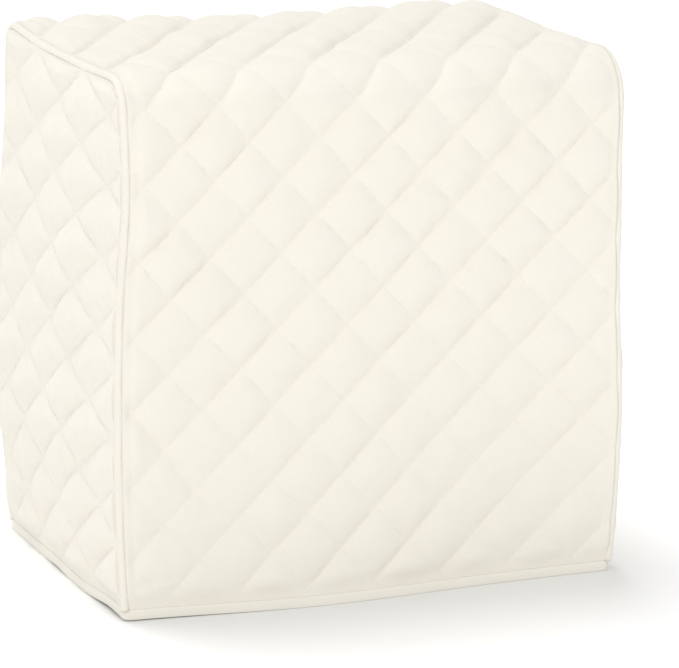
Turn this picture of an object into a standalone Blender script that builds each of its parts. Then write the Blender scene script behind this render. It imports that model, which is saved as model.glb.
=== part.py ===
"""Quilted fitted cover for a tall kitchen appliance: cut flat, hung over its box shape, sewn and bound.

Metres. +X is to the right, +Y to the back, +Z up. The origin is on the surface that the hem
stands on, under the middle of the cover. Each piece is worked out on a straight box first, and
hang() then gives all of them the same sag and bulge, so the seams stay as close as they were sewn.
"""

import math

import bmesh
import bpy
import numpy as np

# Sizes of the finished cover, over the crowns of the quilting
WIDTH = 0.370
DEPTH = 0.245
HEIGHT = 0.372

# Quilted cloth: thickness along a stitch line, and how far a diamond swells out and in
CLOTH = 0.0014
PUFF = 0.0030
INNER_PUFF = 0.0005
INSET = CLOTH / 2 + PUFF
TOP_PUFF_GAIN = 0.5

# Rounding of the top edges, front edge softer at the right end than at the left
FRONT_RADIUS_LEFT = 0.020
FRONT_RADIUS_RIGHT = 0.034
BACK_RADIUS = 0.012

# Piping along both side seams, and the folded binding around the hem
SEAM_GAP = 0.0003
PIPING_RADIUS = 0.0028
PIPING_STEP = 0.022
HEM_HEIGHT = 0.007
HEM_CLOTH = 0.001
HEM_GAP = 0.0004
HEM_STEP = 0.019
HEM_EDGE = HEM_CLOTH + SEAM_GAP
SEAM_OFFSET = PIPING_RADIUS + SEAM_GAP
HEM_FADE = 0.016
SEAM_FADE = 0.008
SEAM_PUFF = 0.45

# Patch at the lower left of the front where the quilting is pressed flatter
PRESSED_U = -0.135
PRESSED_V = 0.070
PRESSED_WIDTH = 0.050
PRESSED_HEIGHT = 0.080
PRESSED_SHARE = 0.55

# Mid surfaces of the walls and the top
WALL_X = WIDTH / 2 - INSET
WALL_Y = DEPTH / 2 - INSET
TOP_Z = HEIGHT - INSET

# Diamond quilting of the strip: diagonals across, up the walls and front to back over the top,
# one crossing of the stitch lines that fixes the rest, and the lean of the columns
ACROSS = 0.0506
UP = 0.0518
OVER_TOP = 0.075
CROSSING_U = -0.0185
CROSSING_V = 0.244
LEAN = 0.030

# Diamond quilting of a side panel, on cloth pulled wide from front to back: its upright axis swings
# towards the back below a height, and its rows tilt down towards the back, most at the hem
PANEL_UP = 0.0517
PANEL_ACROSS_HEM = 0.070
PANEL_ACROSS_TOP = 0.098
PANEL_CROSSING_Z = 0.341
PANEL_AXIS_Y = 0.003
PANEL_SWING = 0.046
PANEL_SWING_HEIGHT = 0.25
PANEL_TILT = 0.235
PANEL_TILT_END = 0.39

# How the cover hangs: how far each place moves, in metres
LEFT_BELLY = 0.007
RIGHT_BELLY = 0.004
LEFT_SEAM_IN = 0.005
HEM_CORNER_IN = 0.004
RIGHT_FLARE = 0.005
LEFT_LOW_BELLY = 0.004
HEM_BOW = 0.012
TOP_RISE = 0.004
TOP_SAG = 0.0035
BACK_BELLY = 0.004
WALL_SHARE = 0.95

# Steps in a quarter turn, and Blender's bevel resolution for the round piping
ARC_STEPS = 5
PIPING_RESOLUTION = 2

# Cream cotton, as linear colours
QUILT_COLOUR = (0.88, 0.85, 0.76)
QUILT_ROUGHNESS = 0.85
TRIM_COLOUR = (0.89, 0.86, 0.77)
TRIM_ROUGHNESS = 0.8


def front_radius(u):
    """The front edge's radius at a place across the strip, from the left end's to the right end's."""
    share = np.clip(u / WIDTH + 0.5, 0.0, 1.0)
    return FRONT_RADIUS_LEFT + (FRONT_RADIUS_RIGHT - FRONT_RADIUS_LEFT) * share


def section_ends(radius):
    """Lengths along the strip at the end of the front, front edge, top, back edge and back."""
    front = TOP_Z - radius - HEM_EDGE
    over = 2 * WALL_Y - radius - BACK_RADIUS
    back = TOP_Z - BACK_RADIUS - HEM_EDGE
    quarter = math.pi / 2
    lengths = np.broadcast_arrays(front, radius * quarter, over, BACK_RADIUS * quarter, back)
    return np.cumsum(lengths, axis=0)


STRIP_ENDS = section_ends((FRONT_RADIUS_LEFT + FRONT_RADIUS_RIGHT) / 2)
STRIP_LENGTH = STRIP_ENDS[4]
STRIP_WIDTH = 2 * (WALL_X - SEAM_OFFSET)
FRONT_BEND = (STRIP_ENDS[0] + STRIP_ENDS[1]) / 2
BACK_BEND = (STRIP_ENDS[2] + STRIP_ENDS[3]) / 2


def strip_path(v, radius):
    """(y, z, outward y, outward z) at a length v up the front, over the top and down the back."""
    ends = section_ends(radius)
    s = v * ends[4] / STRIP_LENGTH
    first_turn = np.clip((s - ends[0]) / radius, 0.0, math.pi / 2)
    second_turn = np.clip((s - ends[2]) / BACK_RADIUS, 0.0, math.pi / 2)
    up = np.minimum(s, ends[0])
    over = np.clip(s - ends[1], 0.0, ends[2] - ends[1])
    down = np.clip(s - ends[3], 0.0, None)
    y = -WALL_Y + radius * (1 - np.cos(first_turn)) + over + BACK_RADIUS * np.sin(second_turn)
    z = HEM_EDGE + up + radius * np.sin(first_turn) - BACK_RADIUS * (1 - np.cos(second_turn)) - down
    turn = first_turn + second_turn
    return y, z, -np.cos(turn), np.sin(turn)


def strip_rows(v):
    """Diagonals counted along the strip from the fixed crossing, longer ones over the top."""
    edges = [0.0, FRONT_BEND, BACK_BEND, STRIP_LENGTH]
    pitches = [UP, OVER_TOP, UP]
    steps = [(b - a) / pitch for a, b, pitch in zip(edges[:-1], edges[1:], pitches)]
    counts = np.concatenate([[0.0], np.cumsum(steps)]) - CROSSING_V / UP
    return edges, counts, np.interp(v, edges, counts)


def strip_lattice(i, j):
    """Flat place of a quarter-diagonal grid point of the strip."""
    edges, counts, _ = strip_rows(0.0)
    row = j / 4
    beyond = UP * (min(row - counts[0], 0.0) + max(row - counts[-1], 0.0))
    v = float(np.interp(row, counts, edges)) + beyond
    return CROSSING_U + i * ACROSS / 4 + LEAN * (v - CROSSING_V), v


def strip_turns(u, v):
    """Diagonals counted across and along the strip at a flat place."""
    return (u - CROSSING_U - LEAN * (v - CROSSING_V)) / ACROSS, strip_rows(v)[2]


def panel_axis(z):
    """(place of the lattice's upright axis, diagonal across, rise of a row to the front) at a height."""
    axis = PANEL_AXIS_Y + PANEL_SWING * np.clip(1 - z / PANEL_SWING_HEIGHT, 0.0, None) ** 2
    across = PANEL_ACROSS_HEM + (PANEL_ACROSS_TOP - PANEL_ACROSS_HEM) * z / HEIGHT
    return axis, across, PANEL_TILT * (1 - z / PANEL_TILT_END)


def panel_lattice(i, j):
    """Flat place, as (y, z), of a quarter-diagonal grid point, closing in on it step by step."""
    z = PANEL_CROSSING_Z + j * PANEL_UP / 4
    for _ in range(12):
        axis, across, tilt = panel_axis(np.clip(z, 0.0, HEIGHT))
        y = axis - i * across / 4
        z = PANEL_CROSSING_Z + j * PANEL_UP / 4 - tilt * y
    return float(y), float(z)


def panel_turns(y, z):
    """Diagonals counted across and up a side panel at a flat place."""
    axis, across, tilt = panel_axis(np.clip(z, 0.0, HEIGHT))
    return (axis - y) / across, (z - PANEL_CROSSING_Z + tilt * y) / PANEL_UP


def crown(a, b):
    """Swell of a diamond from 0 on its stitch lines to 1 in its middle."""
    return (np.abs(np.sin(math.pi * (a + b))) * np.abs(np.sin(math.pi * (a - b)))) ** 0.6


def smooth(x):
    """0 below 0, 1 above 1, and an even ramp between."""
    x = np.clip(x, 0.0, 1.0)
    return x * x * (3 - 2 * x)


def hang(points):
    """Move box points to where the cloth hangs; the floor plane keeps its height."""
    x, y, z = points.T
    across = x / (WIDTH / 2)
    deep = y / (DEPTH / 2)
    high = np.clip(z / HEIGHT, 0.0, 1.0)
    left = smooth(-across / WALL_SHARE) ** 2
    right = smooth(across / WALL_SHARE) ** 2
    front = smooth(-deep / WALL_SHARE) ** 2
    back = smooth(deep / WALL_SHARE) ** 2
    waist = np.sin(math.pi * high)
    shoulder = np.exp(-(((high - 0.78) / 0.16) ** 2))
    foot = np.exp(-high / 0.09)
    belly_left = LEFT_BELLY * waist * (1 - 0.85 * front)
    seam_in = (LEFT_SEAM_IN * shoulder + HEM_CORNER_IN * foot) * front
    belly_right = RIGHT_BELLY * waist * (1 - 0.5 * front - 0.5 * back)
    flare_right = RIGHT_FLARE * smooth((0.62 - high) / 0.35) * (0.35 + 0.65 * front)
    low_belly = LEFT_LOW_BELLY * np.exp(-(((high - 0.30) / 0.16) ** 2)) * (1 - 0.8 * front)
    dx = left * (seam_in - belly_left - low_belly)
    dx += right * (belly_right + flare_right - HEM_CORNER_IN * foot * front)
    bow = HEM_BOW * np.exp(-(((across + 0.2) / 0.6) ** 2)) * np.exp(-high / 0.25)
    dy = -front * bow + back * BACK_BELLY * waist * np.cos(across * math.pi / 2)
    top = smooth((high - 0.6) / 0.4)
    rise = TOP_RISE * np.exp(-(((across - 0.72) / 0.25) ** 2)) * smooth(deep * 0.5 + 0.5)
    sag = TOP_SAG * (right + 0.7 * left) * np.cos(deep * math.pi / 2)
    dz = top * (rise - sag)
    return np.stack([x + dx, y + dy, z + dz], axis=1)


def layer_mesh(lattice, low, high, step, level, cuts, creases):
    """One flat layer of the quilting grid, its quads split along the stitch lines, cut to outline.

    Each cut is (point, outward normal) in the flat plane, and each crease adds a row of points.
    """
    bm = bmesh.new()
    columns = (high[0] - low[0]) // step
    rows = (high[1] - low[1]) // step
    made = bmesh.ops.create_grid(bm, x_segments=columns, y_segments=rows, size=0.5)
    place = {}
    for vert in made["verts"]:
        i = low[0] + step * round((vert.co.x + 0.5) * columns)
        j = low[1] + step * round((vert.co.y + 0.5) * rows)
        place[vert] = (i, j)
        vert.co = (*lattice(i, j), level)
    for face in list(bm.faces):
        corners = sorted(face.verts, key=lambda vert: place[vert])
        rising = (place[corners[0]][0] - place[corners[0]][1]) // step % 2 == 0
        ends = (corners[0], corners[3]) if rising else (corners[1], corners[2])
        bmesh.utils.face_split(face, *ends)
    lines = [(*cut, True) for cut in cuts] + [(*crease, False) for crease in creases]
    for point, normal, trim in lines:
        bmesh.ops.bisect_plane(
            bm,
            geom=bm.verts[:] + bm.edges[:] + bm.faces[:],
            plane_co=(*point, 0.0),
            plane_no=(*normal, 0.0),
            clear_outer=trim,
        )
    bmesh.ops.remove_doubles(bm, verts=bm.verts[:], dist=0.0001)
    bmesh.ops.triangulate(bm, faces=bm.faces[:])
    mesh = bpy.data.meshes.new("layer")
    bm.to_mesh(mesh)
    bm.free()
    return mesh


def solid_mesh(name, bm):
    """Mesh of a closed bmesh, with its faces turned outwards."""
    bmesh.ops.recalc_face_normals(bm, faces=bm.faces[:])
    if bm.calc_volume(signed=True) < 0:
        bmesh.ops.reverse_faces(bm, faces=bm.faces[:])
    mesh = bpy.data.meshes.new(name)
    bm.to_mesh(mesh)
    bm.free()
    return mesh


def quilted_mesh(name, lattice, low, high, cuts, creases, place):
    """Outer layer, coarser inner layer and the rim between them, put in place by place(u, v, side)."""
    bm = bmesh.new()
    for step, level in ((1, 1.0), (2, 0.0)):
        layer = layer_mesh(lattice, low, high, step, level, cuts, creases)
        bm.from_mesh(layer)
        bpy.data.meshes.remove(layer)
    rims = [edge for edge in bm.edges if edge.is_boundary]
    bmesh.ops.bridge_loops(bm, edges=rims)
    bmesh.ops.triangulate(bm, faces=bm.faces[:])
    flat = np.array([vert.co[:] for vert in bm.verts])
    hung = hang(place(flat[:, 0], flat[:, 1], flat[:, 2] > 0.5))
    for vert, point in zip(bm.verts, hung):
        vert.co = point
    return solid_mesh(name, bm)


def offset(swell, outer):
    """Distance of a face from the mid surface: outwards for the outer one, inwards for the inner."""
    return np.where(outer, CLOTH / 2 + PUFF * swell, -CLOTH / 2 - INNER_PUFF * swell)


def place_strip(u, v, outer):
    """Flat strip to box: quilted, flat at its seams and hem, fuller on top, and bent over the box."""
    side = SEAM_PUFF + (1 - SEAM_PUFF) * smooth((STRIP_WIDTH / 2 - np.abs(u)) / SEAM_FADE)
    hem = smooth((np.minimum(v, STRIP_LENGTH - v) - HEM_HEIGHT) / HEM_FADE)
    on_top = smooth((v - FRONT_BEND) / OVER_TOP) * smooth((BACK_BEND - v) / OVER_TOP)
    away = ((u - PRESSED_U) / PRESSED_WIDTH) ** 2 + ((v - PRESSED_V) / PRESSED_HEIGHT) ** 2
    pressed = 1 - PRESSED_SHARE * np.exp(-away)
    swell = crown(*strip_turns(u, v)) * side * hem * pressed * (1 + TOP_PUFF_GAIN * on_top)
    w = offset(swell, outer)
    y, z, out_y, out_z = strip_path(v, front_radius(u))
    return np.stack([u, y + w * out_y, z + w * out_z], axis=1)


def panel_outline(right):
    """Side panel's outline, as (y, z) points around it: the seam line, moved in by the seam's half."""
    radius = front_radius(np.array(WALL_X if right else -WALL_X))
    ends = section_ends(radius) * STRIP_LENGTH / section_ends(radius)[4]
    bends = [np.linspace(ends[k], ends[k + 1], ARC_STEPS + 1) for k in (0, 2)]
    v = np.concatenate([[0.0], bends[0], bends[1], [STRIP_LENGTH]])
    y, z, out_y, out_z = strip_path(v, radius)
    return np.stack([y - out_y * SEAM_OFFSET, z - out_z * SEAM_OFFSET], axis=1)


def outline_cuts(outline):
    """A cut along each side of a convex outline that runs clockwise, with its outward normal."""
    cuts = []
    for start, end in zip(outline, np.roll(outline, -1, axis=0)):
        along = (end - start) / np.linalg.norm(end - start)
        cuts.append((tuple(start), (-along[1], along[0])))
    return cuts


def place_panel(side):
    """Function that puts a flat side panel on its wall; side is -1 for left and 1 for right."""

    def place(y, z, outer):
        edge = np.minimum(WALL_Y - np.abs(y), TOP_Z - z) - SEAM_OFFSET
        rim = SEAM_PUFF + (1 - SEAM_PUFF) * smooth(edge / SEAM_FADE)
        hem = smooth((z - HEM_HEIGHT) / HEM_FADE)
        w = offset(crown(*panel_turns(y, z)) * rim * hem, outer)
        return np.stack([side * (WALL_X + w), y, z], axis=1)

    return place


def add_part(name, data, collection, material):
    """One named piece in the collection, with its own material."""
    part = bpy.data.objects.new(name, data)
    data.materials.append(material)
    collection.objects.link(part)
    return part


def body_strip(collection, material):
    """One strip up the front, over the top and down the back."""
    half = STRIP_WIDTH / 2
    cuts = [((-half, 0.0), (-1.0, 0.0)), ((half, 0.0), (1.0, 0.0))]
    cuts += [((0.0, 0.0), (0.0, -1.0)), ((0.0, STRIP_LENGTH), (0.0, 1.0))]
    bend_start = TOP_Z - FRONT_RADIUS_RIGHT - HEM_EDGE
    front_rows = bend_start + FRONT_RADIUS_RIGHT * np.linspace(0.0, math.pi / 2, ARC_STEPS)
    back_rows = np.linspace(STRIP_ENDS[2], STRIP_ENDS[3], ARC_STEPS - 1)
    creases = [((0.0, float(v)), (0.0, 1.0)) for v in (*front_rows, *back_rows)]
    reach = 2 * math.ceil((half + LEAN * STRIP_LENGTH) / ACROSS * 2 + 1)
    counts = strip_rows(0.0)[1]
    low = (-reach, 2 * math.floor(counts[0] * 2 - 1))
    high = (reach, 2 * math.ceil(counts[-1] * 2 + 1))
    mesh = quilted_mesh("body_strip", strip_lattice, low, high, cuts, creases, place_strip)
    return add_part("body_strip", mesh, collection, material)


def side_panel(name, side, collection, material):
    """One side panel, cut with rounded top corners."""
    outline = panel_outline(side > 0)
    reach = 2 * math.ceil(DEPTH / PANEL_ACROSS_HEM * 2)
    low = (-reach, -2 * math.ceil(PANEL_CROSSING_Z / PANEL_UP * 2 + 2))
    high = (reach, 2 * math.ceil((HEIGHT - PANEL_CROSSING_Z) / PANEL_UP * 2 + 2))
    cuts = outline_cuts(outline)
    above_hem = [((0.0, HEM_HEIGHT + HEM_CLOTH), (0.0, 1.0))]
    mesh = quilted_mesh(name, panel_lattice, low, high, cuts, above_hem, place_panel(side))
    return add_part(name, mesh, collection, material)


def piping(name, side, collection, material):
    """Round cord in its own bias strip, along the whole side seam down to the binding."""
    radius = front_radius(np.array(side * WALL_X))
    ends = section_ends(radius) * STRIP_LENGTH / section_ends(radius)[4]
    start = HEM_HEIGHT + SEAM_GAP - HEM_EDGE
    stops = [start, ends[0], ends[1], ends[2], ends[3], STRIP_LENGTH - start]
    runs = []
    for k, (a, b) in enumerate(zip(stops[:-1], stops[1:])):
        count = ARC_STEPS if k % 2 else math.ceil((b - a) / PIPING_STEP)
        runs.append(np.linspace(a, b, count, endpoint=False))
    v = np.concatenate(runs + [[stops[-1]]])
    y, z, _, _ = strip_path(v, radius)
    points = hang(np.stack([np.full_like(y, side * WALL_X), y, z], axis=1))
    curve = bpy.data.curves.new(name, "CURVE")
    curve.dimensions = "3D"
    curve.bevel_depth = PIPING_RADIUS
    curve.bevel_resolution = PIPING_RESOLUTION
    curve.use_fill_caps = True
    spline = curve.splines.new("POLY")
    spline.points.add(len(points) - 1)
    for point, co in zip(spline.points, points):
        point.co = (*co, 1.0)
    return add_part(name, curve, collection, material)


def hem_path():
    """(x, y, outward x, outward y) around the hem, on the walls' mid surfaces, corners rounded."""
    places = []
    for quarter, (long, near) in enumerate(((2 * WALL_X, WALL_Y), (2 * WALL_Y, WALL_X)) * 2):
        straight = long / 2 - SEAM_OFFSET
        turn = quarter * math.pi / 2
        along = np.linspace(-straight, straight, math.ceil(long / HEM_STEP) + 1)
        bend = np.linspace(0.0, math.pi / 2, ARC_STEPS - 1)[1:-1]
        x = np.concatenate([along, straight + SEAM_OFFSET * np.sin(bend)])
        y = np.concatenate([0 * along - near, -near + SEAM_OFFSET * (1 - np.cos(bend))])
        angle = turn + np.concatenate([0 * along, bend])
        places.append(
            np.stack(
                [
                    x * math.cos(turn) - y * math.sin(turn),
                    x * math.sin(turn) + y * math.cos(turn),
                    np.sin(angle),
                    -np.cos(angle),
                ],
                axis=1,
            )
        )
    return np.concatenate(places)


def hem_binding(collection, material):
    """Folded strip around the hem: a U section, open upwards, swept around the hem as a closed ring."""
    slot = CLOTH / 2 + HEM_GAP
    wide = slot + HEM_CLOTH
    section = [(-wide, 0.0), (wide, 0.0), (wide, HEM_HEIGHT), (slot, HEM_HEIGHT)]
    section += [(slot, HEM_CLOTH), (-slot, HEM_CLOTH), (-slot, HEM_HEIGHT), (-wide, HEM_HEIGHT)]
    bm = bmesh.new()
    rings = []
    for x, y, out_x, out_y in hem_path():
        ring = np.array([(x + w * out_x, y + w * out_y, z) for w, z in section])
        rings.append([bm.verts.new(point) for point in hang(ring)])
    for ring, following in zip(rings, rings[1:] + rings[:1]):
        for k in range(len(section)):
            after = (k + 1) % len(section)
            bm.faces.new((ring[k], following[k], following[after], ring[after]))
    return add_part("hem_binding", solid_mesh("hem_binding", bm), collection, material)


def cotton(name, colour, roughness):
    """Plain matt cotton of one colour."""
    material = bpy.data.materials.new(name)
    material.use_nodes = True
    shader = material.node_tree.nodes["Principled BSDF"]
    shader.inputs["Base Color"].default_value = (*colour, 1.0)
    shader.inputs["Roughness"].default_value = roughness
    shader.inputs["Metallic"].default_value = 0.0
    return material


def stand_on_origin(parts):
    """Move all parts together so that the middle of their common box is over the origin."""
    meshes = [part.data for part in parts if part.type == "MESH"]
    points = np.array([vert.co[:] for mesh in meshes for vert in mesh.vertices])
    middle = (points.min(axis=0) + points.max(axis=0)) / 2
    for part in parts:
        part.location = (-middle[0], -middle[1], 0.0)


def main():
    for old in list(bpy.data.objects):
        bpy.data.objects.remove(old)
    collection = bpy.data.collections.new("quilted_appliance_cover")
    bpy.context.scene.collection.children.link(collection)
    parts = [body_strip(collection, cotton("quilted_cotton_strip", QUILT_COLOUR, QUILT_ROUGHNESS))]
    for name, side in (("left", -1), ("right", 1)):
        quilt = cotton(f"quilted_cotton_{name}", QUILT_COLOUR, QUILT_ROUGHNESS)
        parts.append(side_panel(f"side_panel_{name}", side, collection, quilt))
        bias = cotton(f"piping_cotton_{name}", TRIM_COLOUR, TRIM_ROUGHNESS)
        parts.append(piping(f"piping_{name}", side, collection, bias))
    parts.append(hem_binding(collection, cotton("binding_cotton", TRIM_COLOUR, TRIM_ROUGHNESS)))
    stand_on_origin(parts)


main()
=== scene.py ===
"""Quilted cream cotton cover, standing at its full box shape on a white studio floor.

Metres. +X is to the right, +Y to the back, +Z up. Each sheet is worked out on a straight box from
its own flat places, with its quilting, puckers and creases as heights over the cloth, and hang()
then moves every piece with the same sag and bulge, so that the sewn seams stay closed.
"""

import math

import bpy
import numpy as np
from mathutils import Matrix, Vector


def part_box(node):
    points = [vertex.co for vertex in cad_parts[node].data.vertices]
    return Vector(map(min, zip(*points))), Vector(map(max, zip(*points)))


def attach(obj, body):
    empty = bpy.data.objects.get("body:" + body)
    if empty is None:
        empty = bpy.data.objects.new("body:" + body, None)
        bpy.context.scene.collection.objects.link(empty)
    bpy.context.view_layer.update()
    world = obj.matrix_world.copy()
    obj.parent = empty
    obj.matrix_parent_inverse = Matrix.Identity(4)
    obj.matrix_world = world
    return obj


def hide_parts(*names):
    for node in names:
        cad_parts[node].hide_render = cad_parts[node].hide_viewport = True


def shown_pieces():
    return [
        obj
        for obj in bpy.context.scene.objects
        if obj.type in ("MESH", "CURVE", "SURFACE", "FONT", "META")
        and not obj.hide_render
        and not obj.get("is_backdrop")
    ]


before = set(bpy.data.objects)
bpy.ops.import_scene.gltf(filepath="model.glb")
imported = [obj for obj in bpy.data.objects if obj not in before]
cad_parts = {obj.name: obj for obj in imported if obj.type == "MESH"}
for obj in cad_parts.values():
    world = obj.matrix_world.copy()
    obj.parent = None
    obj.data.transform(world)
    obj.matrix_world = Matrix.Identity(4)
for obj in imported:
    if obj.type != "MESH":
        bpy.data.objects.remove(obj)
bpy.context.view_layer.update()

PI = math.pi

# Sizes of the finished cover and of its quilted cloth
WIDTH = 0.370
DEPTH = 0.245
HEIGHT = 0.372
CLOTH = 0.0014
PUFF = 0.0047
INNER_PUFF = 0.0010
INSET = 0.0037
WALL_X = WIDTH / 2 - INSET
WALL_Y = DEPTH / 2 - INSET
TOP_Z = HEIGHT - INSET

# Rounding of the top edges, seams and hem
FRONT_RADIUS_LEFT = 0.020
FRONT_RADIUS_RIGHT = 0.034
BACK_RADIUS = 0.012
PIPING_RADIUS = 0.0028
SEAM_OFFSET = 0.0031
SEAM_LIFT = 0.0014
SEAM_PRESS = 0.0014
SEAM_TROUGH = 0.0005
HEM_HEIGHT = 0.007
HEM_EDGE = 0.0013
HEM_WIDE = 0.0021
HEM_LIP = 0.0008
FOLD_ROUNDING = 0.0002

# Diamond quilting: diagonals of the strip and of the side panels, and the swell of the wadding
ACROSS = 0.0506
UP = 0.0518
OVER_TOP = 0.075
CROSSING_U = -0.0185
CROSSING_V = 0.244
LEAN = 0.030
PANEL_UP = 0.0517
PANEL_ACROSS_HEM = 0.070
PANEL_ACROSS_TOP = 0.098
PANEL_CROSSING_Z = 0.341
PANEL_AXIS_Y = 0.003
PANEL_SWING = 0.046
PANEL_SWING_HEIGHT = 0.25
PANEL_TILT = 0.235
PANEL_TILT_END = 0.39
GROOVE_ROUNDING = 0.10
FALLING_DIP = 0.55
TOP_FALLING_DIP = 0.20
PANEL_FALLING_DIP = 0.90
PANEL_FULLNESS = 1.3
STRIP_UNEVENNESS = 0.24
PANEL_UNEVENNESS = 0.16
STRIP_WOBBLE = 0.016
PANEL_WOBBLE = 0.014
WOBBLE_LENGTH = 0.045
FURROW = 0.0019
STITCH_PITCH = 0.0033
STITCH_HALF_LENGTH = 0.0012
STITCH_HALF_WIDTH = 0.0002
SEAM_CLEAR = 0.002
STRIP_HEM_CLEAR = 0.008
PANEL_HEM_CLEAR = 0.009
THREAD_PITCH = 0.0009

# Points over each sheet: columns, and rows over the front, the top and the back
STRIP_COLUMNS = 196
STRIP_ROWS = (208, 140, 120)
PANEL_ROWS = 204
PANEL_COLUMNS = 132
INNER_STEP = 4
HEM_STEP = 0.0026

# How far the hung cloth moves from the straight box
LEFT_BELLY = 0.007
RIGHT_BELLY = 0.004
LEFT_SEAM_IN = 0.005
HEM_CORNER_IN = 0.004
HEM_BOW = 0.012
TOP_RISE = 0.004
TOP_SAG = 0.0035
BACK_BELLY = 0.004
RIGHT_FLARE = 0.005
LEFT_LOW_BELLY = 0.004
BACK_RISE = 0.004
HEM_LIFT = 0.0025
SWAY = 0.0012

# Creases of the strip, as (start u, start v, end u, end v, half-width, depth); ridges are negative
STRIP_CREASES = [
    (-0.177, 0.148, -0.121, 0.080, 0.0050, 0.0019),
    (-0.087, 0.056, -0.061, 0.024, 0.0045, 0.0012),
    (-0.176, 0.052, -0.150, 0.057, 0.0030, 0.0007),
    (-0.174, 0.020, -0.150, 0.026, 0.0030, 0.0007),
    (-0.150, 0.172, 0.050, 0.188, 0.0080, -0.0007),
    (-0.155, 0.152, 0.020, 0.166, 0.0060, 0.0007),
]
# Creases of both side panels, as (start y, start z, end y, end z, half-width, depth)
PANEL_CREASES = [
    (0.110, 0.350, 0.070, 0.290, 0.0060, 0.0016),
]


def front_radius(u):
    """Front edge's radius, even from the left end's to the right end's."""
    share = np.clip(u / WIDTH + 0.5, 0.0, 1.0)
    return FRONT_RADIUS_LEFT + (FRONT_RADIUS_RIGHT - FRONT_RADIUS_LEFT) * share


def section_ends(radius):
    """Lengths along the strip at the end of the front, front edge, top, back edge and back."""
    front = TOP_Z - radius - HEM_EDGE
    over = 2 * WALL_Y - radius - BACK_RADIUS
    back = TOP_Z - BACK_RADIUS - HEM_EDGE
    lengths = np.broadcast_arrays(front, radius * PI / 2, over, BACK_RADIUS * PI / 2, back)
    return np.cumsum(lengths, axis=0)


STRIP_ENDS = section_ends((FRONT_RADIUS_LEFT + FRONT_RADIUS_RIGHT) / 2)
STRIP_LENGTH = STRIP_ENDS[4]
HALF = WALL_X - SEAM_OFFSET
FRONT_BEND = (STRIP_ENDS[0] + STRIP_ENDS[1]) / 2
BACK_BEND = (STRIP_ENDS[2] + STRIP_ENDS[3]) / 2


def strip_path(v, radius):
    """(y, z, outward y, outward z): up the front, a quarter turn, over, a quarter turn, down."""
    ends = section_ends(radius)
    s = v * ends[4] / STRIP_LENGTH
    first_turn = np.clip((s - ends[0]) / radius, 0.0, PI / 2)
    second_turn = np.clip((s - ends[2]) / BACK_RADIUS, 0.0, PI / 2)
    up = np.minimum(s, ends[0])
    over = np.clip(s - ends[1], 0.0, ends[2] - ends[1])
    down = np.clip(s - ends[3], 0.0, None)
    y = -WALL_Y + radius * (1 - np.cos(first_turn)) + over + BACK_RADIUS * np.sin(second_turn)
    z = HEM_EDGE + up + radius * np.sin(first_turn) - BACK_RADIUS * (1 - np.cos(second_turn)) - down
    turn = first_turn + second_turn
    return y, z, -np.cos(turn), np.sin(turn)


def strip_turns(u, v):
    """Diagonals counted across and along the strip from one crossing of the stitch lines."""
    edges = [0.0, FRONT_BEND, BACK_BEND, STRIP_LENGTH]
    pitches = [UP, OVER_TOP, UP]
    steps = [(b - a) / pitch for a, b, pitch in zip(edges[:-1], edges[1:], pitches)]
    counts = np.concatenate([[0.0], np.cumsum(steps)]) - CROSSING_V / UP
    return (u - CROSSING_U - LEAN * (v - CROSSING_V)) / ACROSS, np.interp(v, edges, counts)


def panel_turns(y, z):
    """Diagonals counted across and up a side panel."""
    axis = PANEL_AXIS_Y + PANEL_SWING * np.clip(1 - z / PANEL_SWING_HEIGHT, 0.0, None) ** 2
    across = PANEL_ACROSS_HEM + (PANEL_ACROSS_TOP - PANEL_ACROSS_HEM) * z / HEIGHT
    tilt = PANEL_TILT * (1 - z / PANEL_TILT_END)
    return (axis - y) / across, (z - PANEL_CROSSING_Z + tilt * y) / PANEL_UP


def smooth(x):
    """0 below 0, 1 above 1, and an even ramp between."""
    x = np.clip(x, 0.0, 1.0)
    return x * x * (3 - 2 * x)


def noise(x, y, seed):
    """Random heights from -1 to 1 on whole numbers, with smooth ramps between them."""
    table = np.random.default_rng(seed).uniform(-1.0, 1.0, (61, 61))
    i, j = np.floor(x).astype(int), np.floor(y).astype(int)
    p, q = smooth(x - i), smooth(y - j)
    near = table[i % 61, j % 61] * (1 - p) + table[(i + 1) % 61, j % 61] * p
    far = table[i % 61, (j + 1) % 61] * (1 - p) + table[(i + 1) % 61, (j + 1) % 61] * p
    return near * (1 - q) + far * q


def crease(x, y, line):
    """A soft trough along a line: depth times a bell of the distance, fading out past its ends."""
    x0, y0, x1, y1, half_width, depth = line
    length = math.hypot(x1 - x0, y1 - y0)
    ax, ay = (x1 - x0) / length, (y1 - y0) / length
    along = (x - x0) * ax + (y - y0) * ay
    bend = 0.5 * half_width * noise(along / 0.012 + 7.3 * x0, along * 0 + 0.5, 5)
    away = (y - y0) * ax - (x - x0) * ay - bend
    past = np.maximum(np.maximum(-along, along - length), 0.0)
    return depth * np.exp(-((away / half_width) ** 2) - (past / (2.5 * half_width)) ** 2)


def rounded(s):
    """Sine's size with its sharp zero rounded, so that a stitch line lies in a soft groove."""
    return np.sqrt(s * s + GROOVE_ROUNDING**2) - GROOVE_ROUNDING


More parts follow.
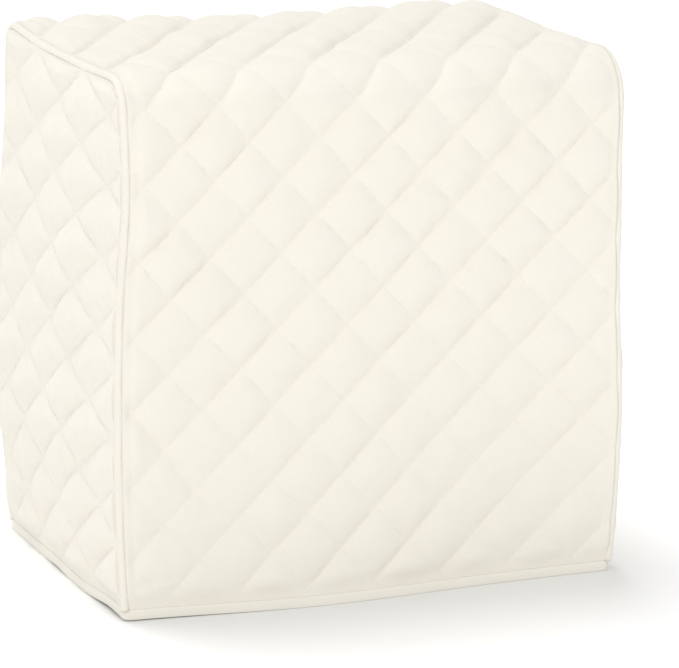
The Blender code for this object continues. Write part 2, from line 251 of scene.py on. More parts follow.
def diamonds(a, b, seed, unevenness, falling_dip):
    """Swell of the wadding: long rolls between the rising stitch lines, a sine to the power 0.6,
    dipping at the falling ones by the share falling_dip. The fullness changes smoothly along each
    roll, each diamond has its own side where it is fullest, and short puckers run away from the
    stitch lines."""
    fall, rise = a + b, a - b
    i, j = np.floor(fall), np.floor(rise)
    own = noise(fall - 0.5, j, seed)
    tilt_i, tilt_j = noise(i, j, seed + 1), noise(fall - 0.5, j, seed + 2)
    p, q = fall - i, rise - j
    p = p + 0.055 * tilt_i * np.sin(2 * PI * p)
    q = q + 0.055 * tilt_j * np.sin(2 * PI * q)
    sp, sq = np.sin(PI * p), np.sin(PI * q)
    roll = (rounded(sq) / 0.905) ** 0.6
    dip = (rounded(sp) / 0.905) ** 0.5
    swell = roll * (1 - falling_dip + falling_dip * dip)
    pucker_p = noise(rise * 8.0, i + 0.5, seed + 3) * sp * np.exp(-sp / 0.32)
    pucker_q = noise(fall * 8.0, j + 0.5, seed + 4) * sq * np.exp(-sq / 0.32)
    return swell * (1 + unevenness * own) + 0.55 * (pucker_p * sq + pucker_q * sp)


def hang(points):
    """Box places to hung places: sides bellied at mid height and low on the left, front seams
    drawn in at the shoulder and foot, right side flaring out to the hem, front hem bowed out, left
    hem lifted at two places, top sagging at its sides and raised at two corners, and a slow random
    sway. Each term is an offset that fades out over its own part of the box."""
    x, y, z = np.moveaxis(points, -1, 0)
    across = x / (WIDTH / 2)
    deep = y / (DEPTH / 2)
    high = np.clip(z / HEIGHT, 0.0, 1.0)
    left = smooth(-across / 0.95) ** 2
    right = smooth(across / 0.95) ** 2
    front = smooth(-deep / 0.95) ** 2
    back = smooth(deep / 0.95) ** 2
    waist = np.sin(PI * high)
    shoulder = np.exp(-(((high - 0.78) / 0.16) ** 2))
    foot = np.exp(-high / 0.09)
    belly_left = LEFT_BELLY * waist * (1 - 0.85 * front)
    seam_in = (LEFT_SEAM_IN * shoulder + HEM_CORNER_IN * foot) * front
    belly_right = RIGHT_BELLY * waist * (1 - 0.5 * front - 0.5 * back)
    dx = left * (seam_in - belly_left) + right * (belly_right - HEM_CORNER_IN * foot * front)
    bow = HEM_BOW * np.exp(-(((across + 0.2) / 0.6) ** 2)) * np.exp(-high / 0.25)
    dy = -front * bow + back * BACK_BELLY * waist * np.cos(across * PI / 2)
    top = smooth((high - 0.6) / 0.4)
    rise = TOP_RISE * np.exp(-(((across - 0.72) / 0.25) ** 2)) * smooth(deep * 0.5 + 0.5)
    sag = TOP_SAG * (right + 0.7 * left) * np.cos(deep * PI / 2)
    dz = top * (rise - sag)
    flare = RIGHT_FLARE * smooth((0.62 - high) / 0.35) * (0.35 + 0.65 * front)
    low_belly = LEFT_LOW_BELLY * np.exp(-(((high - 0.30) / 0.16) ** 2)) * (1 - 0.8 * front)
    dx = dx + right * flare - left * low_belly
    dz = dz + top * BACK_RISE * back * np.exp(-(((across + 0.72) / 0.3) ** 2))
    lifts = np.exp(-(((deep + 0.74) / 0.22) ** 2)) + 0.6 * np.exp(-(((deep - 0.1) / 0.15) ** 2))
    dz = dz + HEM_LIFT * left * lifts * np.exp(-high / 0.12)
    sway = SWAY * smooth((high - 0.02) / 0.06)
    dx = dx + sway * (left + right) * noise(y / 0.07 + 3.1, z / 0.06, 21)
    dy = dy + sway * (front + back) * noise(x / 0.07 + 9.4, z / 0.06, 22)
    dz = dz + top * SWAY * noise(x / 0.06, y / 0.06 + 5.2, 23)
    return np.stack([x + dx, y + dy, z + dz], axis=-1)


def hem_ring(rounding, step):
    """(x, y, outward x, outward y) around the hem at the walls' mid surfaces, corners rounded."""
    places = []
    for quarter, (long, wall) in enumerate(((2 * WALL_X, WALL_Y), (2 * WALL_Y, WALL_X)) * 2):
        straight = long / 2 - rounding
        turn = quarter * PI / 2
        along = np.linspace(-straight, straight, math.ceil(long / step) + 1)
        bend = np.linspace(0.0, PI / 2, 7)[1:-1]
        x = np.concatenate([along, straight + rounding * np.sin(bend)])
        y = np.concatenate([0 * along - wall, -wall + rounding * (1 - np.cos(bend))])
        angle = turn + np.concatenate([0 * along, bend])
        x, y = x * math.cos(turn) - y * math.sin(turn), x * math.sin(turn) + y * math.cos(turn)
        places.append(np.stack([x, y, np.sin(angle), -np.cos(angle)], axis=1))
    return np.concatenate(places)


def centring():
    """How far the part was moved to stand over the origin: its binding's box against hang()'s."""
    ring = hem_ring(SEAM_OFFSET, HEM_STEP)
    outer = ring[:, :2] + HEM_WIDE * ring[:, 2:]
    levels = [np.column_stack([outer, np.full(len(ring), z)]) for z in (0.0, HEM_HEIGHT)]
    hung = np.concatenate([hang(level) for level in levels])
    high = np.array(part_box("hem_binding")[1])
    return (high - hung.max(axis=0)) * [1, 1, 0]


SHIFT = centring()


def strip_surface(u, v, outer):
    """Strip's outer or inner face, as a height over the cloth's middle: half the cloth plus the
    diamonds' swell, which is lower where the front is pressed and on the front edge, less furrows
    over the top and creases, plus fine folds. It is flat under the hem binding, lifted beside the
    piping, with a trough beside the left one. The height is laid out along the outward direction
    of the bent strip, and the result is hung."""
    inside_seam = (HALF - np.abs(u)) / 0.008
    side = 0.35 + 0.65 * smooth(inside_seam)
    hem = smooth((np.minimum(v, STRIP_LENGTH - v) - HEM_HEIGHT) / 0.014)
    on_top = smooth((v - FRONT_BEND) / OVER_TOP) * smooth((BACK_BEND - v) / OVER_TOP)
    pressed = 1 - 0.55 * np.exp(-(((u + 0.135) / 0.050) ** 2) - ((v - 0.070) / 0.080) ** 2)
    low_right = 1 - 0.28 * np.exp(-(((u - 0.135) / 0.070) ** 2) - ((v - 0.060) / 0.090) ** 2)
    bend = np.exp(-(((v - FRONT_BEND) / 0.020) ** 2))
    region = pressed * low_right * (0.85 + 0.30 * smooth((v - 0.10) / 0.12)) * (1 - 0.35 * bend)
    a, b = strip_turns(u, v)
    a = a + STRIP_WOBBLE * noise(u / WOBBLE_LENGTH, v / WOBBLE_LENGTH, 31)
    b = b + STRIP_WOBBLE * noise(u / WOBBLE_LENGTH + 4.0, v / WOBBLE_LENGTH, 32)
    falling_dip = FALLING_DIP + (TOP_FALLING_DIP - FALLING_DIP) * on_top
    swell = diamonds(a, b, 40, STRIP_UNEVENNESS, falling_dip)
    swell = swell * side * hem * region * (1 + 0.10 * on_top)
    if not outer:
        w = -CLOTH / 2 - INNER_PUFF * np.clip(swell, 0.0, None)
    else:
        furrow = np.exp(-((np.sin(PI * (a - b)) / 0.16) ** 2))
        w = CLOTH / 2 + PUFF * swell - FURROW * furrow * on_top * side
        w = w - hem * side * sum(crease(u, v, line) for line in STRIP_CREASES)
        rumple = 0.0003 * noise(u / 0.010, v / 0.010, 33)
        rumple = rumple + 0.0006 * bend * noise(u / 0.024, v / 0.0035, 34)
        rumple = rumple + 0.0006 * on_top * noise(u / 0.018 + 0.6 * v / 0.018, v / 0.005, 35)
        w = w + hem * side * rumple
        w = w - SEAM_TROUGH * hem * np.exp(-(((HALF + u - 0.0050) / 0.0024) ** 2))
    w = w + SEAM_LIFT * np.exp(-((np.maximum(HALF - np.abs(u), 0.0) / 0.004) ** 2)) * hem
    y, z, out_y, out_z = strip_path(v, front_radius(u))
    return hang(np.stack([u, y + w * out_y, z + w * out_z], axis=-1)) + SHIFT


def panel_surface(side):
    """Function of a side panel's face: half the cloth plus the diamonds' swell, less creases,
    plus fine upright folds, lifted along its seam, set out from the wall and hung."""

    def surface(y, z, outer):
        edge = panel_edge(y, z, side)
        rim = 0.35 + 0.65 * smooth(edge / 0.008)
        hem = smooth((z - HEM_HEIGHT) / 0.014)
        a, b = panel_turns(y, z)
        a = a + PANEL_WOBBLE * noise(y / WOBBLE_LENGTH, z / WOBBLE_LENGTH, 51)
        b = b + PANEL_WOBBLE * noise(y / WOBBLE_LENGTH + 4.0, z / WOBBLE_LENGTH, 52)
        seed = 60 if side < 0 else 70
        swell = diamonds(a, b, seed, PANEL_UNEVENNESS, PANEL_FALLING_DIP) * rim * hem
        if not outer:
            w = -CLOTH / 2 - INNER_PUFF * np.clip(swell, 0.0, None)
        else:
            w = CLOTH / 2 + PANEL_FULLNESS * PUFF * swell
            w = w - hem * rim * sum(crease(y, z, line) for line in PANEL_CREASES)
            w = w + 0.0007 * hem * rim * noise(y / 0.0045 - 0.3 * z / 0.0045, z / 0.024, 53)
        w = w + SEAM_LIFT * np.exp(-((np.maximum(edge, 0.0) / 0.006) ** 2)) * hem
        x = side * (WALL_X + w)
        return hang(np.stack([x, y, z], axis=-1)) + SHIFT

    return surface


def panel_edge(y, z, side):
    """Distance of a place on a side panel from its sewn outline, with its rounded top corners."""
    low_y, high_y = -WALL_Y + SEAM_OFFSET, WALL_Y - SEAM_OFFSET
    high_z = TOP_Z - SEAM_OFFSET
    front = front_radius(np.array(side * WALL_X)) - SEAM_OFFSET
    back = BACK_RADIUS - SEAM_OFFSET
    straight = np.minimum(np.minimum(y - low_y, high_y - y), high_z - z)
    at_front = (y < low_y + front) & (z > high_z - front)
    at_back = (y > high_y - back) & (z > high_z - back)
    to_front = front - np.hypot(y - low_y - front, z - high_z + front)
    to_back = back - np.hypot(y - high_y + back, z - high_z + back)
    return np.where(at_front, to_front, np.where(at_back, to_back, straight))


def panel_grid(side, rows, columns):
    """Places (y, z) of a grid that fills the rounded outline, its rows closer near the top."""
    reach = SEAM_OFFSET - SEAM_PRESS
    front = front_radius(np.array(side * WALL_X)) - reach
    back = BACK_RADIUS - reach
    low_y, high_y = -WALL_Y + reach, WALL_Y - reach
    high_z = TOP_Z - reach
    bend_rows = rows // 12
    straight = np.linspace(HEM_EDGE, high_z - front, rows - bend_rows, endpoint=False)
    bend = high_z - front + front * np.sin(np.linspace(0.0, PI / 2, bend_rows + 1))
    z = np.concatenate([straight, bend])
    from_front = np.clip((z - high_z + front) / front, 0.0, 1.0)
    from_back = np.clip((z - high_z + back) / back, 0.0, 1.0)
    y0 = low_y + front * (1 - np.sqrt(1 - from_front**2))
    y1 = high_y - back * (1 - np.sqrt(1 - from_back**2))
    share = np.linspace(0.0, 1.0, columns + 1)
    y = y0[:, None] * (1 - share) + y1[:, None] * share
    return y, np.broadcast_to(z[:, None], y.shape)


def strip_grid(columns, counts):
    """Places (u, v) of a grid over the strip, finer over the front and the top than at the back."""
    stops = [0.0, STRIP_ENDS[1], STRIP_ENDS[3], STRIP_LENGTH]
    runs = [np.linspace(a, b, n, endpoint=False) for a, b, n in zip(stops, stops[1:], counts)]
    v = np.concatenate(runs + [[STRIP_LENGTH]])
    edge = 0.5 - 0.5 * np.cos(np.linspace(0.0, PI, columns + 1))
    u = (HALF + SEAM_PRESS) * (2 * (0.12 * edge + 0.88 * np.linspace(0.0, 1.0, columns + 1)) - 1)
    return np.broadcast_to(u, (len(v), len(u))), np.broadcast_to(v[:, None], (len(v), len(u)))


def grid_quads(shape, start, flip):
    """Corner numbers of a grid's quads; start is its first point's number."""
    number = start + np.arange(shape[0] * shape[1]).reshape(shape)
    quads = np.stack([number[:-1, :-1], number[:-1, 1:], number[1:, 1:], number[1:, :-1]], axis=-1)
    quads = quads.reshape(-1, 4)
    return number, quads[:, ::-1] if flip else quads


def add_piece(name, mesh, material, slot, *nodes):
    """Object of a mesh with its material, riding the body and standing for its nodes."""
    piece = bpy.data.objects.new(name, mesh)
    bpy.context.scene.collection.objects.link(piece)
    mesh.materials.append(material)
    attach(piece, "root")
    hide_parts(*nodes)
    return piece


def shade_smooth(mesh):
    """Smooth shading over a whole mesh."""
    mesh.polygons.foreach_set("use_smooth", np.ones(len(mesh.polygons), bool))


def sheet_mesh(name, surface, flat, turns, flip):
    """Closed sheet: the outer grid, a coarser inner grid of its points, and a rim between."""
    step = INNER_STEP
    p, q = flat
    outer = surface(p, q, True)
    inner = surface(p[::step, ::step], q[::step, ::step], False)
    number, outer_quads = grid_quads(outer.shape[:2], 0, flip)
    back, inner_quads = grid_quads(inner.shape[:2], number.size, not flip)
    rim = []
    for edge, behind in (
        (number[0], back[0]),
        (number[:, -1], back[:, -1]),
        (number[-1, ::-1], back[-1, ::-1]),
        (number[::-1, 0], back[::-1, 0]),
    ):
        for k in range(len(behind) - 1):
            loop = [*edge[k * step : k * step + step + 1][::-1], behind[k], behind[k + 1]]
            rim.append([int(n) for n in (loop[::-1] if flip else loop)])
    points = np.concatenate([outer.reshape(-1, 3), inner.reshape(-1, 3)])
    mesh = bpy.data.meshes.new(name)
    mesh.from_pydata(points, [], outer_quads.tolist() + inner_quads.tolist() + rim)
    corner = np.empty(len(mesh.loops), int)
    mesh.loops.foreach_get("vertex_index", corner)
    both = [np.concatenate([grid.ravel(), grid[::step, ::step].ravel()]) for grid in (p, q)]
    for layer, values in (("weave", both), ("quilt", turns(*both))):
        uv = np.stack(values, axis=1)[corner]
        mesh.uv_layers.new(name=layer).data.foreach_set("uv", uv.ravel())
    shade_smooth(mesh)
    return mesh


def tube_mesh(name, path, normal, profile):
    """Profile swept along a path, with its two ends capped.

    path is places, normal the outward direction at each, and profile (rings, n, 2) the distances
    outwards and sideways of each ring's points: place + outwards * normal + sideways * across.
    """
    tangent = np.gradient(path, axis=0)
    tangent /= np.linalg.norm(tangent, axis=1, keepdims=True)
    across = np.cross(tangent, normal)
    across /= np.linalg.norm(across, axis=1, keepdims=True)
    out = np.cross(across, tangent)
    points = path[:, None] + out[:, None] * profile[..., :1] + across[:, None] * profile[..., 1:]
    rings, sides = points.shape[:2]
    number = np.arange(rings * sides).reshape(rings, sides)
    number = np.concatenate([number, number[:, :1]], axis=1)
    quads = np.stack([number[:-1, :-1], number[:-1, 1:], number[1:, 1:], number[1:, :-1]], axis=-1)
    faces = quads.reshape(-1, 4).tolist()
    faces += [number[0, :-1][::-1].tolist(), number[-1, :-1].tolist()]
    mesh = bpy.data.meshes.new(name)
    mesh.from_pydata(points.reshape(-1, 3), [], faces)
    corner = np.empty(len(mesh.loops), int)
    mesh.loops.foreach_get("vertex_index", corner)
    length = np.concatenate([[0.0], np.cumsum(np.linalg.norm(np.diff(path, axis=0), axis=1))])
    girth = np.cumsum(np.linalg.norm(np.diff(profile[0], axis=0, append=profile[0][:1]), axis=1))
    along = np.repeat(length, sides)[corner]
    around = np.tile(girth, rings)[corner]
    mesh.uv_layers.new(name="weave").data.foreach_set("uv", np.stack([along, around], 1).ravel())
    shade_smooth(mesh)
    return mesh


def stitches_mesh(name, middle, along, out):
    """Short stitches on the cloth: a pointed capsule of two square rings at each place."""
    along = along / np.linalg.norm(along, axis=1, keepdims=True)
    across = np.cross(out, along)
    across /= np.linalg.norm(across, axis=1, keepdims=True)
    out = np.cross(along, across)
    ring = [(1, 0), (0, 1), (-1, 0), (0, -1)]
    shape = [(-1.0, 0.0, -1.2)] + [(-0.6, a, o) for a, o in ring] + [(0.6, a, o) for a, o in ring]
    shape += [(1.0, 0.0, -1.2)]
    shape = np.array(shape) * [STITCH_HALF_LENGTH, STITCH_HALF_WIDTH, STITCH_HALF_WIDTH]
    points = sum(shape[:, k, None] * axis[:, None] for k, axis in enumerate((along, across, out)))
    points = middle[:, None] + points
    sides = [(1 + k, 1 + (k + 1) % 4) for k in range(4)]
    quads = [(a, b, b + 4, a + 4) for a, b in sides]
    tips = [(0, b, a) for a, b in sides] + [(9, a + 4, b + 4) for a, b in sides]
    faces = []
    for template in (np.array(quads), np.array(tips)):
        numbers = template[None] + 10 * np.arange(len(middle))[:, None, None]
        faces += numbers.reshape(-1, template.shape[1]).tolist()
    mesh = bpy.data.meshes.new(name)
    mesh.from_pydata(points.reshape(-1, 3), [], faces)
    shade_smooth(mesh)
    return mesh


def on_surface(surface, p, q, dp, dq, flip):
    """Places, directions and outward normals on a surface, from short steps over it."""
    step = 0.0004
    middle = surface(p, q, True)
    along = surface(p + dp * step, q + dq * step, True) - surface(p - dp * step, q - dq * step, True)
    over_p = surface(p + step, q, True) - surface(p - step, q, True)
    over_q = surface(p, q + step, True) - surface(p, q - step, True)
    out = np.cross(over_p, over_q) * (-1.0 if flip else 1.0)
    return middle, along, out / np.linalg.norm(out, axis=1, keepdims=True)


def lattice_places(turns, low, high, inside):
    """Stitches along both families of lines: fine samples of the sheet where a line crosses."""
    fine = 0.0005
    p = np.arange(low[0], high[0], fine)
    found = []
    for family in (1, -1):
        for q in np.arange(low[1], high[1], STITCH_PITCH * 0.707):
            a, b = turns(p, np.full_like(p, q))
            count = a + family * b
            cut = np.flatnonzero(np.floor(count[:-1]) != np.floor(count[1:]))
            whole = np.round((count[cut] + count[cut + 1]) / 2)
            share = (whole - count[cut]) / (count[cut + 1] - count[cut])
            level = np.full(len(cut), q)
            found.append(np.stack([p[cut] + share * fine, level, np.full(len(cut), family)], 1))
    found = np.concatenate(found)
    p, q, family = found[inside(found[:, 0], found[:, 1])].T
    a0, b0 = turns(p, q)
    ap, bp = turns(p + fine, q)
    aq, bq = turns(p, q + fine)
    gp, gq = ap - a0 + family * (bp - b0), aq - a0 + family * (bq - b0)
    size = np.hypot(gp, gq)
    return p, q, -gq / size, gp / size


def material(name):
    """New node material, with its nodes and links."""
    made = bpy.data.materials.new(name)
    made.use_nodes = True
    return made, made.node_tree.nodes, made.node_tree.links


def math_node(nodes, links, operation, *values):
    """Maths node with numbers or links on its inputs; returns its output."""
    node = nodes.new("ShaderNodeMath")
    node.operation = operation
    for socket, value in zip(node.inputs, values):
        if isinstance(value, (int, float)):
            socket.default_value = value
        else:
            links.new(value, socket)
    return node.outputs[0]


def cotton(name, colour, shade, quilted):
    """Matt cotton: fine plain weave and soft unevenness as bump, faint mottling of the colour,
    and on quilted cloth a narrow groove on the stitch lines."""
    made, nodes, links = material(name)
    shader = nodes["Principled BSDF"]
    shader.inputs["Roughness"].default_value = 0.88
    shader.inputs["Specular IOR Level"].default_value = 0.25
    shader.inputs["Sheen Weight"].default_value = 0.25
    shader.inputs["Sheen Roughness"].default_value = 0.6
    weave = nodes.new("ShaderNodeUVMap")
    weave.uv_map = "weave"
    split = nodes.new("ShaderNodeSeparateXYZ")
    links.new(weave.outputs[0], split.inputs[0])
    counts = [math_node(nodes, links, "MULTIPLY", split.outputs[k], 2 * PI / THREAD_PITCH) for k in (0, 1)]
    warp, weft = (math_node(nodes, links, "SINE", count) for count in counts)
    threads = math_node(nodes, links, "MULTIPLY", warp, weft)
    coordinates = nodes.new("ShaderNodeTexCoord")
    rumple = nodes.new("ShaderNodeTexNoise")
    rumple.inputs["Scale"].default_value = 140.0
    rumple.inputs["Detail"].default_value = 3.0
    links.new(coordinates.outputs["Object"], rumple.inputs["Vector"])
    height = math_node(nodes, links, "MULTIPLY_ADD", threads, 0.00003, 0.0)
    height = math_node(nodes, links, "MULTIPLY_ADD", rumple.outputs["Fac"], 0.0005, height)
    if quilted:
        lattice = nodes.new("ShaderNodeUVMap")
        lattice.uv_map = "quilt"
        turn = nodes.new("ShaderNodeSeparateXYZ")
        links.new(lattice.outputs[0], turn.inputs[0])
        for operation in ("ADD", "SUBTRACT"):
            count = math_node(nodes, links, operation, turn.outputs[0], turn.outputs[1])
            away = math_node(nodes, links, "PINGPONG", count, 0.5)
            groove = math_node(nodes, links, "DIVIDE", away, 0.03)
            groove = math_node(nodes, links, "MINIMUM", groove, 1.0)
            height = math_node(nodes, links, "MULTIPLY_ADD", groove, 0.00015, height)
    bump = nodes.new("ShaderNodeBump")
    bump.inputs["Strength"].default_value = 0.6
    bump.inputs["Distance"].default_value = 1.0
    links.new(height, bump.inputs["Height"])
    links.new(bump.outputs[0], shader.inputs["Normal"])
    mottle = nodes.new("ShaderNodeTexNoise")
    mottle.inputs["Scale"].default_value = 22.0
    mottle.inputs["Detail"].default_value = 4.0
    links.new(coordinates.outputs["Object"], mottle.inputs["Vector"])
    mix = nodes.new("ShaderNodeMix")
    mix.data_type = "RGBA"
    mix.inputs[6].default_value = (*colour, 1.0)
    mix.inputs[7].default_value = (*shade, 1.0)
    links.new(mottle.outputs["Fac"], mix.inputs[0])
    links.new(mix.outputs[2], shader.inputs["Base Color"])
    return made


def thread_material():
    """Cream sewing thread, a little shinier than the cloth."""
    made, nodes, _ = material("sewing_thread")
    shader = nodes["Principled BSDF"]
    shader.inputs["Base Color"].default_value = (*THREAD_CREAM, 1.0)
    shader.inputs["Roughness"].default_value = 0.55
    return made


THREAD_CREAM = (0.80, 0.769, 0.69)
QUILT = cotton("quilted_cream_cotton", (0.805, 0.774, 0.694), (0.788, 0.754, 0.667), True)
TRIM = cotton("cream_bias_strip", (0.80, 0.769, 0.69), (0.785, 0.752, 0.668), False)
THREAD = thread_material()

# Body strip
STRIP_FLAT = strip_grid(STRIP_COLUMNS, STRIP_ROWS)
strip = add_piece(
    "quilt_body",
    sheet_mesh("quilt_body", strip_surface, STRIP_FLAT, strip_turns, False),
    QUILT,
    "quilted_cotton",
    "body_strip",
)

# Side panels
for label, side in (("left", -1), ("right", 1)):
    flat = panel_grid(side, PANEL_ROWS, PANEL_COLUMNS)
    surface = panel_surface(side)
    mesh = sheet_mesh(f"quilt_panel_{label}", surface, flat, panel_turns, side < 0)
    add_piece(mesh.name, mesh, QUILT, "quilted_cotton", f"side_panel_{label}")


def hung_piping(side):
    """Path of the side seam from the binding up, over and down, with outward directions."""
    radius = front_radius(np.array(side * WALL_X))
    start = HEM_HEIGHT - HEM_EDGE - 0.0004
    v = np.linspace(start, STRIP_LENGTH - start, 460)
    y, z, out_y, out_z = strip_path(v, radius)
    x = np.full_like(y, side * WALL_X)
    out = np.stack([np.full_like(y, side * 1.0), out_y, out_z], axis=1)
    return hang(np.stack([x, y, z], axis=1)) + SHIFT, out / np.linalg.norm(out, axis=1, keepdims=True)


# Piping
for label, side in (("left", -1), ("right", 1)):
    path, out = hung_piping(side)
    turn = np.linspace(0.0, 2 * PI, 16, endpoint=False)
    along = np.arange(len(path))
    swelling = 1 + 0.03 * noise(along / 3.0, 0.5 + turn[:, None] * 1.6, 81).T
    circle = np.stack([np.cos(turn), np.sin(turn)], axis=1)
    profile = PIPING_RADIUS * circle * swelling[..., None]
    mesh = tube_mesh(f"piping_cord_{label}", path, out, profile)
    add_piece(mesh.name, mesh, TRIM, "bias_trim", f"piping_{label}")


def binding_mesh(name):
    """Bias strip folded round the hem: a U of cloth, flat below and thin at its lips, as a ring."""
    corner = np.linspace(0.0, PI / 2, 5)
    away = [(1 - math.sin(c), 1 - math.cos(c)) for c in corner]
    side = [(HEM_WIDE - FOLD_ROUNDING * w, FOLD_ROUNDING * z) for w, z in away]
    side += [(HEM_WIDE, 0.0030), (HEM_WIDE * 0.93, 0.0048), (HEM_WIDE * 0.72, 0.0061)]
    side += [(HEM_WIDE * 0.52, 0.0068), (HEM_LIP, HEM_HEIGHT), (HEM_LIP * 0.9, 0.0030)]
    section = side + [(HEM_LIP * 0.9, 0.0014), (-HEM_LIP * 0.9, 0.0014)]
    section += [(-w, z) for w, z in side[::-1]]
    section = np.array(section)
    ring = hem_ring(SEAM_OFFSET, HEM_STEP)
    number = np.arange(len(ring))
    outward = section[:, 0]
    dimple = 0.00035 * np.exp(-(((section[:, 1] - 0.0046) / 0.0008) ** 2)) * np.sign(outward)
    every = 0.5 + 0.5 * np.cos(number * 2 * PI / 1.35)
    out = outward[None] - dimple[None] * every[:, None]
    waves = noise(number / 4.0, 0 * number + 0.5, 91)[:, None]
    height = section[:, 1] + 0.00025 * waves * section[:, 1] / HEM_HEIGHT
    x = ring[:, None, 0] + out * ring[:, None, 2]
    y = ring[:, None, 1] + out * ring[:, None, 3]
    points = hang(np.stack([x, y, np.broadcast_to(height, x.shape)], axis=-1)) + SHIFT
    rings, sides = points.shape[:2]
    grid = np.arange(rings * sides).reshape(rings, sides)
    grid = np.concatenate([grid, grid[:1]])
    grid = np.concatenate([grid, grid[:, :1]], axis=1)
    quads = np.stack([grid[:-1, :-1], grid[1:, :-1], grid[1:, 1:], grid[:-1, 1:]], axis=-1)
    mesh = bpy.data.meshes.new(name)
    mesh.from_pydata(points.reshape(-1, 3), [], quads.reshape(-1, 4).tolist())
    corner = np.empty(len(mesh.loops), int)
    mesh.loops.foreach_get("vertex_index", corner)
    uv = np.stack([(corner // sides) * HEM_STEP, (corner % sides) * 0.0012], axis=1)
    mesh.uv_layers.new(name="weave").data.foreach_set("uv", uv.ravel())
    shade_smooth(mesh)
    return mesh


# Hem binding
mesh = binding_mesh("hem_bias_binding")
add_piece(mesh.name, mesh, TRIM, "bias_trim", "hem_binding")


def inside_strip(u, v):
    """Whether a place on the strip is clear of its seams and of the hem binding."""
    clear = (v > STRIP_HEM_CLEAR) & (v < STRIP_LENGTH - STRIP_HEM_CLEAR)
    return (np.abs(u) < HALF - SEAM_CLEAR) & clear


# Quilting stitches of the strip and the panels
p, q, dp, dq = lattice_places(strip_turns, (-HALF, 0.004), (HALF, STRIP_LENGTH - 0.004), inside_strip)
places = on_surface(strip_surface, p, q, dp, dq, False)
mesh = stitches_mesh("quilting_thread_body", *places)
add_piece(mesh.name, mesh, THREAD, "quilted_cotton")
for label, side in (("left", -1), ("right", 1)):
    surface = panel_surface(side)

    def inside_panel(y, z):
        """Whether a place on this side's panel is clear of its seam and of the hem binding."""
        return (panel_edge(y, z, side) > SEAM_CLEAR) & (z > PANEL_HEM_CLEAR)

    p, q, dp, dq = lattice_places(panel_turns, (-WALL_Y, 0.006), (WALL_Y, TOP_Z), inside_panel)
    places = on_surface(surface, p, q, dp, dq, side < 0)
    mesh = stitches_mesh(f"quilting_thread_{label}", *places)
    add_piece(mesh.name, mesh, THREAD, "quilted_cotton")

# Floor, light and camera
FLOOR_REACH = 9.0
FLOOR_DROP = 0.0001
floor_mesh = bpy.data.meshes.new("floor")
floor_corners = [(FLOOR_REACH * x, FLOOR_REACH * y, 0) for x, y in ((-1, -1), (1, -1), (1, 1), (-1, 1))]
floor_mesh.from_pydata(floor_corners, [], [(0, 1, 2, 3)])
floor = bpy.data.objects.new("floor", floor_mesh)
floor_paint, floor_nodes, _ = material("white_floor")
floor_nodes["Principled BSDF"].inputs["Base Color"].default_value = (0.97, 0.97, 0.97, 1.0)
floor_nodes["Principled BSDF"].inputs["Roughness"].default_value = 0.9
floor_mesh.materials.append(floor_paint)
bpy.context.scene.collection.objects.link(floor)
floor.location = (0.0, 0.0, -FLOOR_DROP)
floor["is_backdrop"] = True

# Directions are as seen from the cover; the fills light only the cover, the wash only the floor
MIDDLE = Vector((0.0, 0.0, 0.18))
SKY_STRENGTH = 0.755
KEY_FROM, KEY_STRENGTH, WASH_STRENGTH = (-0.13, 0.31, 0.94), 0.88, 0.66
SUN_ANGLE = math.radians(31)
SUN_DISTANCE = 3.0
FILL_FROM, FILL_DISTANCE, FILL_WATTS, FILL_SIZE = (-0.54, -0.66, 0.58), 2.6, 18.0, 0.9
LOW_FROM, LOW_DISTANCE, LOW_WATTS, LOW_SIZE = (0.40, -0.88, -0.20), 0.7, 0.40, 0.3
world = bpy.data.worlds.new("studio")
bpy.context.scene.world = world
world.use_nodes = True
world.node_tree.nodes["Background"].inputs[0].default_value = (1.0, 1.0, 1.0, 1.0)
world.node_tree.nodes["Background"].inputs[1].default_value = SKY_STRENGTH


def studio_light(name, kind, towards, distance, strength, size):
    """Soft light of a kind, from a direction as seen from the cover, turned to the cover."""
    data = bpy.data.lights.new(name, kind)
    data.energy = strength
    if kind == "SUN":
        data.angle = size
    else:
        data.shape = "DISK"
        data.size = size
    light = bpy.data.objects.new(name, data)
    bpy.context.scene.collection.objects.link(light)
    towards = Vector(towards).normalized()
    light.location = distance * towards + MIDDLE
    light.rotation_euler = towards.to_track_quat("Z", "Y").to_euler()
    return light


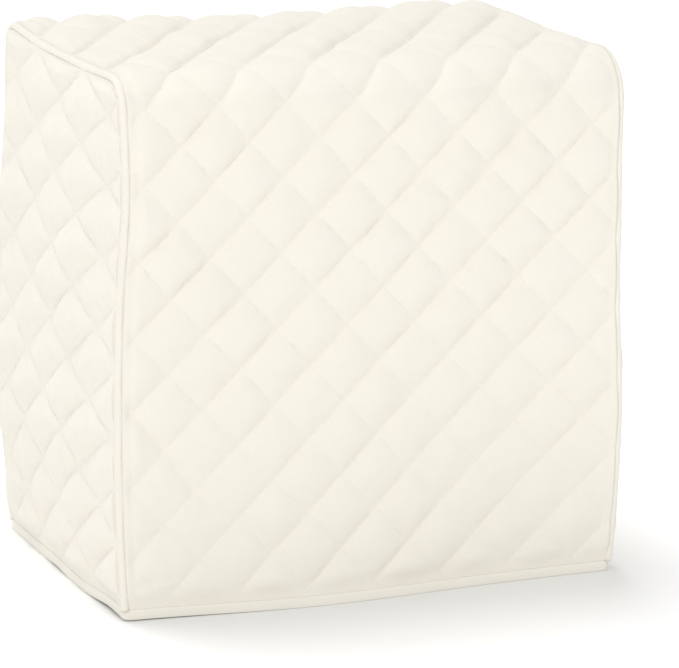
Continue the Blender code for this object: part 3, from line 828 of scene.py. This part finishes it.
studio_light("key", "SUN", KEY_FROM, SUN_DISTANCE, KEY_STRENGTH, SUN_ANGLE)
fill = studio_light("fill", "AREA", FILL_FROM, FILL_DISTANCE, FILL_WATTS, FILL_SIZE)
low_fill = studio_light("low_fill", "AREA", LOW_FROM, LOW_DISTANCE, LOW_WATTS, LOW_SIZE)
wash = studio_light("floor_wash", "SUN", KEY_FROM, SUN_DISTANCE, WASH_STRENGTH, SUN_ANGLE)
for light, pieces in ((fill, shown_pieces()), (low_fill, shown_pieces()), (wash, [floor])):
    receivers = bpy.data.collections.new("lit_by_" + light.name)
    for piece in pieces:
        receivers.objects.link(piece)
    light.light_linking.receiver_collection = receivers
    light.visible_camera = False

CAMERA_AZIMUTH, CAMERA_ELEVATION, CAMERA_ROLL = -22.105, 13.451, 0.868
CAMERA_DISTANCE, CAMERA_RIGHT, CAMERA_UP = 2.8285, 0.0225, -0.0261
FOCAL_PIXELS, PICTURE_PIXELS = 4000.0, 679
SENSOR_WIDTH = 36.0
AIM = Vector((0.0, 0.0, 0.186))
a, e, r = (math.radians(t) for t in (CAMERA_AZIMUTH, CAMERA_ELEVATION, CAMERA_ROLL))
back = Vector((math.sin(a) * math.cos(e), -math.cos(a) * math.cos(e), math.sin(e)))
level_right = Vector((math.cos(a), math.sin(a), 0.0))
level_up = back.cross(level_right)
right = math.cos(r) * level_right + math.sin(r) * level_up
up = -math.sin(r) * level_right + math.cos(r) * level_up
eye = AIM + CAMERA_DISTANCE * back + CAMERA_RIGHT * right + CAMERA_UP * up
camera_data = bpy.data.cameras.new("camera")
camera_data.lens = FOCAL_PIXELS / PICTURE_PIXELS * SENSOR_WIDTH
camera_data.sensor_width = SENSOR_WIDTH
camera_data.clip_end = 50.0
camera = bpy.data.objects.new("camera", camera_data)
bpy.context.scene.collection.objects.link(camera)
turned = Matrix((right, up, back)).transposed().to_4x4()
camera.matrix_world = Matrix.Translation(eye) @ turned
bpy.context.scene.camera = camera

bpy.context.scene.view_settings.view_transform = "Standard"
bpy.context.scene.view_settings.look = "None"
